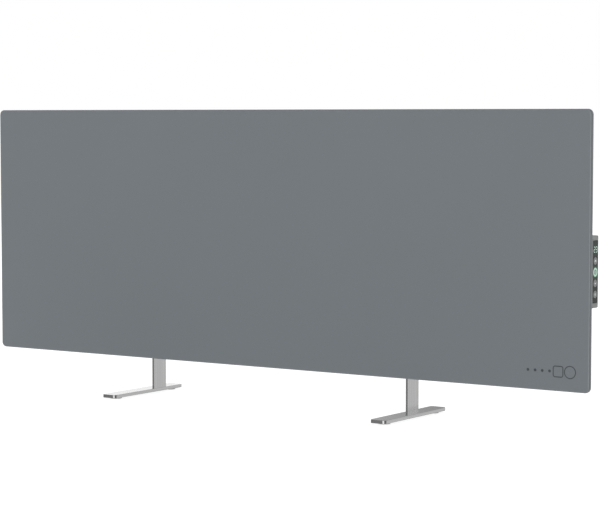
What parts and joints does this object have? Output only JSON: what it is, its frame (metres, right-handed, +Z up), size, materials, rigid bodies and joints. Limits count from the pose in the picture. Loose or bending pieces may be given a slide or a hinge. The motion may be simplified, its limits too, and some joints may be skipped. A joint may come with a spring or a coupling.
{
  "type": "panel heater",
  "caption": "Slim free-standing panel heater: folded steel front, louvred rear cover, flat-bar legs and a side control strip with a lit display and sprung round keys.",
  "frame": {"origin": "on the floor under the middle of the panel's width, midway along the feet", "axes": "+X towards the side that carries the keys, +Y to the rear, +Z up; the front panel faces -Y"},
  "size_m": [0.938, 0.15, 0.3901],
  "materials": {
    "front_paint": "satin grey powder coat",
    "cover_paint": "grey powder coat",
    "satin_steel": "satin, brushed along the bar",
    "zinc": "bright zinc plate",
    "aluminium": "mill finish",
    "housing_plastic": "fine moulded texture, light grey",
    "lens_plastic": "dark gloss",
    "key_plastic": "satin grey",
    "light_guide": "milky, lit pale green",
    "black_plastic": "matt black",
    "board": "green solder mask",
    "ceramic": "unglazed ceramic",
    "block_plastic": "cream moulded plastic",
    "rubber": "matt black",
    "pad_rubber": "pale silicone"
  },
  "bodies": {
    "heater": {"front_panel": "front_paint", "rear_cover": "cover_paint", "cover_screw_1": "zinc", "cover_screw_2": "zinc", "cover_screw_3": "zinc", "cover_screw_4": "zinc", "cover_screw_5": "zinc", "cover_screw_6": "zinc", "left_foot": "satin_steel", "right_foot": "satin_steel", "left_upright": "satin_steel", "right_upright": "satin_steel", "left_pad_front": "pad_rubber", "left_pad_rear": "pad_rubber", "right_pad_front": "pad_rubber", "right_pad_rear": "pad_rubber", "left_backing_plate": "zinc", "right_backing_plate": "zinc", "left_leg_screw_low": "zinc", "left_leg_screw_high": "zinc", "right_leg_screw_low": "zinc", "right_leg_screw_high": "zinc", "heating_element": "aluminium", "left_element_bracket": "zinc", "right_element_bracket": "zinc", "left_element_bush": "ceramic", "right_element_bush": "ceramic", "heat_shield": "aluminium", "thermal_cutout": "black_plastic", "terminal_block": "block_plastic", "cable_entry": "rubber", "control_housing": "housing_plastic", "housing_screw_high": "zinc", "housing_screw_low": "zinc", "control_lens": "lens_plastic", "display_module": "black_plastic", "power_ring": "light_guide", "circuit_board": "board", "tact_switch_up": "black_plastic", "tact_switch_power": "black_plastic", "tact_switch_down": "black_plastic", "tact_switch_menu": "black_plastic", "relay": "black_plastic", "capacitor": "aluminium", "room_sensor": "black_plastic"},
    "up_key": {"key_up": "key_plastic"},
    "power_key": {"key_power": "key_plastic"},
    "down_key": {"key_down": "key_plastic"},
    "menu_key": {"key_menu": "key_plastic"}
  },
  "joints": [
    {"name": "up_key_press", "type": "slide", "parent": "heater", "child": "up_key", "axis": [-1, 0, 0], "range_m": [0, 0.0006], "stiffness_N_per_m": 1500},
    {"name": "power_key_press", "type": "slide", "parent": "heater", "child": "power_key", "axis": [-1, 0, 0], "range_m": [0, 0.0006], "stiffness_N_per_m": 1500},
    {"name": "down_key_press", "type": "slide", "parent": "heater", "child": "down_key", "axis": [-1, 0, 0], "range_m": [0, 0.0006], "stiffness_N_per_m": 1500},
    {"name": "menu_key_press", "type": "slide", "parent": "heater", "child": "menu_key", "axis": [-1, 0, 0], "range_m": [0, 0.0006], "stiffness_N_per_m": 1500}
  ]
}
